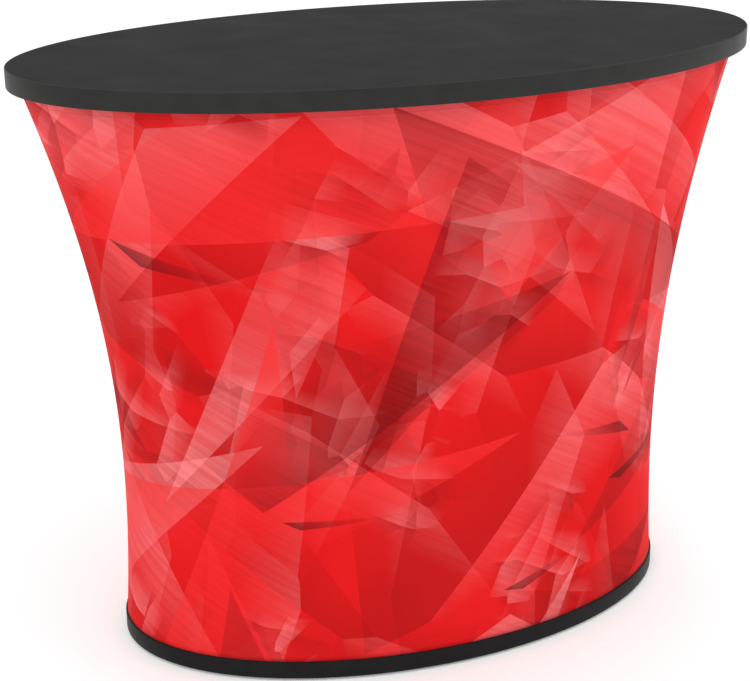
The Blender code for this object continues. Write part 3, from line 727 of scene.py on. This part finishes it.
def wovenTape(name, low, high, pitch):
    # Polyester tape or thread: a close weave, dull with a little fuzz; pitch is the spacing of its ribs in mm
    material, tree, shader, place = startSurface(name, {
        "Roughness": 0.9, "Specular IOR Level": 0.2, "Sheen Weight": 0.15, "Sheen Roughness": 0.5,
    })
    ribs = 1.0
    for axis in ("X", "Z"):
        wave = addNode(tree, "TexWave", {"bands_direction": axis}, {
            "Vector": place, "Scale": 2 * math.pi / (pitch / 1000) / 20,
        })
        ribs = addNode(tree, "Math", {"operation": "MULTIPLY"}, {0: wave.outputs["Fac"], 1: ribs})
    colour = addNode(tree, "Mix", {}, {0: ribs, 6: low, 7: high})
    bump = addNode(tree, "Bump", {}, {"Height": ribs, "Distance": 0.0002, "Strength": 0.6})
    fillSockets(tree, shader, {"Base Color": colour, "Normal": bump})
    return material


plywood = birchPlywood()
aluminium = anodisedAluminium()
zincSteel = platedMetal("zinc_plated_steel", "#9a9c9e", "#c3c5c6", 0.26, 4.2)
springSteel = platedMetal("blued_spring_steel", "#4a4d55", "#6b6e74", 0.32, 4.2)
blackNylon = mouldedPlastic("etched_black_nylon", "#171718", "#222223", 0.42, 0.8, 17)
acetal = mouldedPlastic("black_acetal_teeth", "#151516", "#1e1e1f", 0.30, 0.6, 17)
blackRubber = mouldedPlastic("black_moulded_rubber", "#161616", "#232323", 0.74, 1.2, 17)
hookTape = wovenTape("black_hook_tape", "#0f0f10", "#242425", 2.4)
zipTape = wovenTape("black_zip_tape", "#101011", "#202022", 1.6)
thread = wovenTape("red_sewing_thread", "#8f1518", "#d8383c", 0.8)
print("finishes made")


# Zip down the staff side, on a line that leans with the cloth

zipRun = {
    "lean": math.atan2((sleeve["topDepth"] - sleeve["baseDepth"]) / 2, sleeve["rise"]),
    "start": 0.085,
    "end": 0.895,
    "back": -0.00148738,  # rear face of the teeth, from the outer face of the cloth
    "face": 0.00111262,
    "tapeFace": -0.00178738,
    "tapeThickness": 0.0008,
    "tapeWidth": 0.016,
    "parting": 0.0006,
    "overlap": 0.010,
    "toothPitch": 0.0030,
    "toothShare": 0.30,  # of the pitch, to either side of a tooth's middle
    "toothReach": 0.0035,
    "toothHook": 0.0009,  # past the middle line
    "easing": 0.0004,
    "stopSpace": 0.0056,  # left at either end of the teeth
    "stopEasing": 0.0006,
    "stitchPitch": 0.0036,
    "stitchRows": (0.0092, 0.0142),
    "stitchSize": (0.00045, 0.0004, 0.0014),  # half sizes of a stitch
    "stitchDepth": -0.0002,
}
zipLine = Matrix.Translation((0, sleeve["baseDepth"] / 2, sleeve["foot"])) @ Matrix.Rotation(-zipRun["lean"], 4, "X")


def buildZip():
    low, high = zipRun["start"] - zipRun["overlap"], zipRun["end"] + zipRun["overlap"]
    tapes = []
    for name, side in (("left", -1), ("right", 1)):
        mesh = bmesh.new()
        width, middle = zipRun["tapeWidth"], zipRun["parting"] + zipRun["tapeWidth"] / 2
        stand = Matrix.Translation((side * middle, zipRun["tapeFace"], (low + high) / 2))
        stand = zipLine @ stand @ Matrix.Rotation(math.pi / 2, 4, "X") @ Matrix.Diagonal((width, high - low, 1, 1))
        bmesh.ops.create_grid(mesh, x_segments=6, y_segments=90, size=0.5, matrix=stand)
        bmesh.ops.recalc_face_normals(mesh, faces=mesh.faces)
        if sum(face.normal.y for face in mesh.faces) < 0:
            bmesh.ops.reverse_faces(mesh, faces=mesh.faces)
        tape = addPiece(
            "zip_tape_cloth_" + name, mesh, zipTape, "frame", ["zip_tape_" + name], closed=False,
        )
        thicken(tape, zipRun["tapeThickness"])
        tapes.append(tape)
    teeth = bmesh.new()
    tooth = zipRun["toothPitch"]
    bottom, top = zipRun["start"] + zipRun["stopSpace"], zipRun["end"] - zipRun["stopSpace"]
    count = int((top - bottom) / tooth * 2)
    for index in range(count):
        side = 1 if index % 2 else -1
        height = bottom + tooth / 2 * (index + 0.5)
        ends = sorted((side * zipRun["toothReach"], -side * zipRun["toothHook"]))
        span = [height + way * tooth * zipRun["toothShare"] for way in (-1, 1)]
        addBox(teeth, (ends[0], zipRun["back"], span[0]), (ends[1], zipRun["face"], span[1]), zipRun["easing"], 1)
    moveMesh(teeth, zipLine)
    teethPiece = addPiece("zip_moulded_teeth", teeth, acetal, "frame", ["zip_teeth"])
    for name in ("bottom", "top"):
        smoothCopy("zip_" + name + "_stop", zincSteel, "frame", zipRun["stopEasing"])
    stitches = bmesh.new()
    pitch = zipRun["stitchPitch"]
    rows = int((zipRun["end"] - zipRun["start"] + 0.004) / pitch)
    for row in zipRun["stitchRows"]:
        for side in (-1, 1):
            for index in range(rows):
                height = zipRun["start"] + pitch * (index + 0.5)
                place = Matrix.Translation((side * row, zipRun["stitchDepth"], height))
                place = zipLine @ place @ Matrix.Diagonal((*zipRun["stitchSize"], 1))
                bmesh.ops.create_icosphere(stitches, subdivisions=1, radius=1, matrix=place)
    seam = addPiece("zip_stitching", stitches, thread, "frame")
    return tapes + [teethPiece, seam]


slider = {
    "middle": 0.8804,
    "width": 0.013,
    "length": 0.018,
    "foot": 0.0003,
    "plateBack": 0.00141262,
    "plateFace": 0.00301262,
    "channel": 0.0038,
    "earSpacing": 0.0052,
    "earThickness": 0.0016,
    "earReach": 0.0050,
    "pinAbove": 0.0030,
    "pinRadius": 0.0009,
    "cornerRadius": 0.0028,
    "easing": 0.0004,
    "guides": (-0.55, 0.86),  # their ends, as shares of half the length
    "guideEdge": 0.98,  # their outer face, as a share of half the width
    "earHalf": 0.0025,
    "pinHead": 1.45,  # times the pin's radius
    "tailShare": 0.78,  # of the width, at the end where the closed teeth leave it
}

pull = {
    "length": 0.038,
    "width": 0.008,
    "neck": 0.0022,  # half its width
    "neckLength": 0.0066,
    "thickness": 0.0016,
    "bore": 0.0013,
    "eye": 0.0023,
    "cornerRadius": 0.0026,
    "rim": 0.0011,
    "recess": 0.00035,
}


def buildSlider():
    place = zipLine @ Matrix.Translation((0, 0, slider["middle"]))
    half, long, easing = slider["width"] / 2, slider["length"] / 2, slider["easing"]
    mesh = bmesh.new()
    addPlate(mesh, (-half, slider["plateBack"], -long), (half, slider["plateFace"], long), slider["cornerRadius"], 4)
    lower = [vertex for vertex in mesh.verts if vertex.co.z < 0]
    bmesh.ops.scale(mesh, vec=(slider["tailShare"], 1, 1), verts=lower)
    easeCorners(mesh, easing, 2)
    for side in (-1, 1):
        ends = sorted((side * slider["channel"], side * half * slider["guideEdge"]))
        low, high = (long * share for share in slider["guides"])
        addBox(mesh, (ends[0], slider["foot"], low), (ends[1], slider["plateBack"] + easing, high), easing)
        ends = sorted((side * slider["earSpacing"] / 2, side * (slider["earSpacing"] / 2 + slider["earThickness"])))
        low, high = slider["plateFace"] - 0.0005, slider["plateFace"] + slider["earReach"]
        addBox(mesh, (ends[0], low, -slider["earHalf"]), (ends[1], high, slider["earHalf"]), 0.0005, 3)
    reach = slider["earSpacing"] / 2 + slider["earThickness"] + easing
    across = Matrix.Translation((0, slider["plateFace"] + slider["pinAbove"], 0)) @ Matrix.Rotation(math.pi / 2, 4, "Y")
    radius = slider["pinRadius"]
    head = radius * slider["pinHead"]
    addLathe(mesh, [
        (0, reach), (head * 0.7, reach), (head, reach - 0.0003), (radius, reach - 0.0005),
        (radius, 0.0005 - reach), (head, 0.0003 - reach), (head * 0.7, -reach), (0, -reach),
    ], across, steps=24)
    moveMesh(mesh, place)
    return addPiece("zip_slider_body", mesh, zincSteel, "zip_slider", ["zip_slider"])


def buildPull():
    pin = zipLine @ Vector((0, slider["plateFace"] + slider["pinAbove"], slider["middle"]))
    half, thick = pull["width"] / 2, pull["thickness"] / 2
    mesh = bmesh.new()
    addPlate(mesh, (-half, -thick, -pull["length"]), (half, thick, -pull["neckLength"]), pull["cornerRadius"], 5)
    for face in [face for face in mesh.faces if abs(face.normal.y) > 0.9]:
        bmesh.ops.inset_region(mesh, faces=[face], thickness=pull["rim"], depth=0.0)
        bmesh.ops.translate(mesh, vec=-face.normal * pull["recess"], verts=face.verts[:])  # pressed, for the thumb
    low, high = -pull["neckLength"] - 0.0014, -pull["bore"] - 0.0004
    addBox(mesh, (-pull["neck"], -thick, low), (pull["neck"], thick, high), 0.0003)
    across = Matrix.Rotation(math.pi / 2, 4, "Y")
    addLathe(mesh, [
        (pull["bore"], pull["neck"]), (pull["bore"], -pull["neck"]),
        (pull["eye"] - 0.0002, -pull["neck"]), (pull["eye"], 0.0002 - pull["neck"]),
        (pull["eye"], pull["neck"] - 0.0002), (pull["eye"] - 0.0002, pull["neck"]),
    ], across, ring=True, steps=32)
    moveMesh(mesh, Matrix.Translation(pin))
    return addPiece("zip_pull_tab", mesh, zincSteel, "zip_pull", ["zip_pull"])


hemStitches = buildHemStitches(thread)
zipPieces = buildZip()
buildSlider()
buildPull()
print("zip built")


# Rings, shelf and their fastenings

corners = [
    (end + "_" + side, x, y)
    for side, x in (("left", -1), ("right", 1))
    for end, y in (("front", -1), ("rear", 1))
]


rings = {
    "lower": (0.0348, 0.0528),  # heights of the faces
    "upper": (0.9507, 0.9687),
    "easing": 0.0008,
    "tapeFace": 0.0013,  # in from the outer face of the cloth
    "tapeBack": 0.0023,
}


def buildRings():
    tapes = []
    for name in ("lower", "upper"):
        low, high = rings[name]
        mesh = bmesh.new()
        outer = [(*sleeveOval(height, rings["tapeFace"]), height) for height in (low, high)]
        inner = [(*sleeveOval(height, rings["tapeBack"]), height) for height in (high, low)]
        ovalWall(mesh, outer + inner + outer[:1], 192)
        tapes.append(addPiece(name + "_hook_band", mesh, hookTape, "frame", [name + "_hook_tape"]))
        smoothCopy(name + "_ring", plywood, "frame", rings["easing"])
    return tapes


shelf = {
    "width": 0.93928,
    "depth": 0.54944,
    "low": 0.582,
    "high": 0.600,
    "band": 0.001,
    "easing": 0.0006,
    "collarEasing": 0.0008,
}


def buildShelf():
    smoothCopy("shelf_panel", blackBoard, "shelf")
    buildEdging(shelf, "shelf_edging", "shelf_edge_band", blackEdging, "shelf")
    for name, x, y in corners:
        smoothCopy("shelf_collar_" + name, blackNylon, "shelf", shelf["collarEasing"])


post = {
    "x": 0.300,
    "y": 0.140,
    "easing": 0.0004,
    "floorFace": 0.0348,
    "headFace": 0.9504,
    "flange": 0.034,
    "flangeThickness": 0.004,
    "spigot": 0.0167,
    "spigotHeight": 0.035,
    "screwCircle": 0.0265,
    "screwHead": 0.0036,
    "stripWall": 0.01299,  # from the post's axis to the face on which the spring strip leans
    "stripPressed": 0.77,  # share of its width that is left with the button pressed in
}


snapButton = {  # measured outwards from the post's axis
    "height": 0.490,
    "tip": 0.0220,
    "radius": 0.0040,
    "shoulder": 0.0128,
    "back": 0.0118,
    "flange": 0.0058,
}


def addButton(name, side, axis):
    # a domed pin that a flange holds in; side is the way in which it points
    tip, radius, shoulder, back, flange = (snapButton[key] for key in ("tip", "radius", "shoulder", "back", "flange"))
    mesh = bmesh.new()
    addLathe(mesh, [
        (0, tip), (0.0018, tip - 0.0002), (0.0031, tip - 0.0009), (0.0038, tip - 0.0020), (radius, tip - 0.0032),
        (radius, shoulder), (flange, shoulder), (flange, back), (0, back),
    ], Matrix.Translation(axis) @ Matrix.Rotation(side * math.pi / 2, 4, "Y"), steps=32)
    body = "snap_button_" + name
    addPiece("snap_button_head_" + name, mesh, zincSteel, body, [body])


def buildPosts():
    for name, x, y in corners:
        foot = Matrix.Translation((x * post["x"], y * post["y"], 0))
        for length in ("lower", "upper"):
            smoothCopy(f"{length}_post_{name}", aluminium, "frame", post["easing"])
        for end, face, way in (("floor", post["floorFace"], 1), ("head", post["headFace"], -1)):
            thick, tall = post["flangeThickness"], post["flangeThickness"] + post["spigotHeight"]
            stand = foot @ Matrix.Translation((0, 0, face)) @ Matrix.Diagonal((1, 1, way, 1))
            mesh = bmesh.new()
            addLathe(mesh, [
                (0, tall), (post["spigot"] - 0.001, tall), (post["spigot"], tall - 0.001), (post["spigot"], thick),
                (post["flange"] - 0.001, thick), (post["flange"], thick - 0.001), (post["flange"], 0), (0, 0),
            ], stand, steps=64)
            addPiece(f"{end}_flange_{name}", mesh, blackNylon, "frame", [f"{end}_socket_{name}"])
            screws = bmesh.new()
            head = post["screwHead"]
            for turn in (30, 150, 270):
                spot = Matrix.Rotation(math.radians(turn), 4, "Z") @ Matrix.Translation((post["screwCircle"], 0, thick))
                addLathe(screws, [  # a pan head with a round socket
                    (0, -0.0008), (head * 0.42, -0.0008), (head * 0.46, 0.0007), (head * 0.85, 0.0005),
                    (head, 0.0001), (head * 0.9, -0.0012), (0, -0.0012),
                ], stand @ spot, steps=24)
            addPiece(f"{end}_flange_screws_{name}", screws, zincSteel, "frame")
        smoothCopy("post_coupler_" + name, zincSteel, "frame")
        strip = smoothCopy("spring_strip_" + name, springSteel, "frame")
        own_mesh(strip)
        addButton(name, x, (x * post["x"], y * post["y"], snapButton["height"]))


thumbscrew = {
    "height": 0.5687,
    "shank": 0.003,
    "start": 0.0193,  # both are measured from the post's axis
    "knobLow": 0.034,
    "pitch": 0.001,
    "threadDepth": 0.0005,
    "knob": 0.0115,
    "thickness": 0.009,
    "lobes": 6,
    "lobe": 0.06,  # share of the radius by which a lobe stands out
}


def buildThumbscrews():
    size, low = thumbscrew["knob"], thumbscrew["knobLow"]
    high = low + thumbscrew["thickness"]
    for name, x, y in corners:
        place = Matrix.Translation((x * post["x"], y * post["y"], thumbscrew["height"]))
        place = place @ Matrix.Rotation(-x * math.pi / 2, 4, "Y")
        knob = bmesh.new()
        addLathe(knob, [
            (0, low), (size - 0.0012, low), (size, low + 0.0012), (size, high - 0.0022), (size - 0.0008, high - 0.0006),
            (size - 0.0024, high), (size * 0.5, high - 0.0004), (size * 0.42, high - 0.0010), (0, high - 0.0010),
        ], steps=96)
        for vertex in knob.verts:
            swell = math.cos(thumbscrew["lobes"] * math.atan2(vertex.co.y, vertex.co.x))
            share = min(1.0, math.hypot(vertex.co.x, vertex.co.y) / size) ** 3
            bmesh.ops.scale(knob, vec=(1 + thumbscrew["lobe"] * swell * share,) * 2 + (1,), verts=[vertex])
        moveMesh(knob, place)
        body = "thumbscrew_" + name
        addPiece("thumbscrew_knob_" + name, knob, blackNylon, body, [body])
        shank = bmesh.new()
        rod, start, pitch, depth = (thumbscrew[key] for key in ("shank", "start", "pitch", "threadDepth"))
        turns = int((low - start - 0.001) / pitch)
        tip, end = [(0, start), (rod - 0.0008, start)], [(rod, low + 0.001), (0, low + 0.001)]
        ridges = [(rod - depth * (index % 2), start + pitch / 2 * (index + 1)) for index in range(2 * turns)]
        addLathe(shank, tip + ridges + end, place, steps=24)
        addPiece("thumbscrew_thread_" + name, shank, zincSteel, body)


peg = {"x": 0.49, "radius": 0.005, "low": 0.9550, "high": 0.9807}
glide = {"x": 0.34, "y": 0.17, "radius": 0.020, "height": 0.0042, "tread": (0.0120, 0.0150), "well": 0.0060}


def buildPegsAndGlides():
    radius, low, high = peg["radius"], peg["low"], peg["high"]
    for name, side in (("left", -1), ("right", 1)):
        mesh = bmesh.new()
        addLathe(mesh, [
            (0, high), (radius, high), (radius, low + 0.0020), (radius * 0.92, low + 0.0010),
            (radius * 0.76, low + 0.0002), (radius * 0.56, low), (0, low),
        ], Matrix.Translation((side * peg["x"], 0, 0)), steps=32)
        addPiece("top_peg_" + name, mesh, blackNylon, "tabletop", ["locating_peg_" + name])
    radius, height, well, (inner, outer) = glide["radius"], glide["height"], glide["well"], glide["tread"]
    for name, x, y in corners:
        mesh = bmesh.new()
        addLathe(mesh, [
            (0, height), (radius, height), (radius, 0.0012), (radius - 0.0004, 0.0004), (radius - 0.0012, 0),
            (outer, 0), (outer - 0.0005, 0.0005), (inner + 0.0005, 0.0005), (inner, 0),
            (well, 0), (well - 0.0005, 0.0010), (0, 0.0010),
        ], Matrix.Translation((x * glide["x"], y * glide["y"], 0)), steps=48)
        addPiece("glide_pad_" + name, mesh, blackRubber, "frame", ["glide_" + name])


hookBands = buildRings()
buildShelf()
print("rings and shelf built")
buildPosts()
print("posts built")
buildThumbscrews()
buildPegsAndGlides()
print("fastenings built")


# Light and floor

studio = {
    "key": {"place": (-2.6, -3.4, 3.6), "size": (2.4, 2.4), "power": 40.0},
    "fill": {"place": (3.4, -2.2, 2.4), "size": (2.4, 2.0), "power": 24.0},
    "aim": (0, 0, 0.5),
    "world": 1.0,
    "floor": "#fafafa",
    "floorSize": 20,
    "floorGlow": 0.14,
}


def addSoftbox(kind):
    softbox = studio[kind]
    data = bpy.data.lights.new(kind + "_softbox", "AREA")
    data.shape = "RECTANGLE"
    data.size, data.size_y = softbox["size"]
    data.energy = softbox["power"]
    lamp = bpy.data.objects.new(kind + "_softbox", data)
    lamp.location = softbox["place"]
    lamp.rotation_euler = (lamp.location - Vector(studio["aim"])).to_track_quat("Z", "Y").to_euler()
    bpy.context.scene.collection.objects.link(lamp)


def setStudio():
    world = bpy.data.worlds.new("studio")
    world.use_nodes = True
    background = world.node_tree.nodes["Background"]
    fillSockets(world.node_tree, background, {"Color": (1, 1, 1, 1), "Strength": studio["world"]})
    bpy.context.scene.world = world
    addSoftbox("key")
    addSoftbox("fill")
    # Opal acrylic table, lit faintly from below, so that it stays white round the base
    material, tree, shader = startMaterial("pale_studio_floor", {
        "Base Color": studio["floor"], "Roughness": 0.85, "Specular IOR Level": 0.2,
        "Emission Color": (1, 1, 1, 1), "Emission Strength": studio["floorGlow"],
    })
    mesh = bmesh.new()
    bmesh.ops.create_grid(mesh, x_segments=1, y_segments=1, size=studio["floorSize"])
    addObject("studio_floor", mesh, material)
    bpy.context.scene.view_settings.view_transform = "Standard"


setStudio()
print("studio lit")
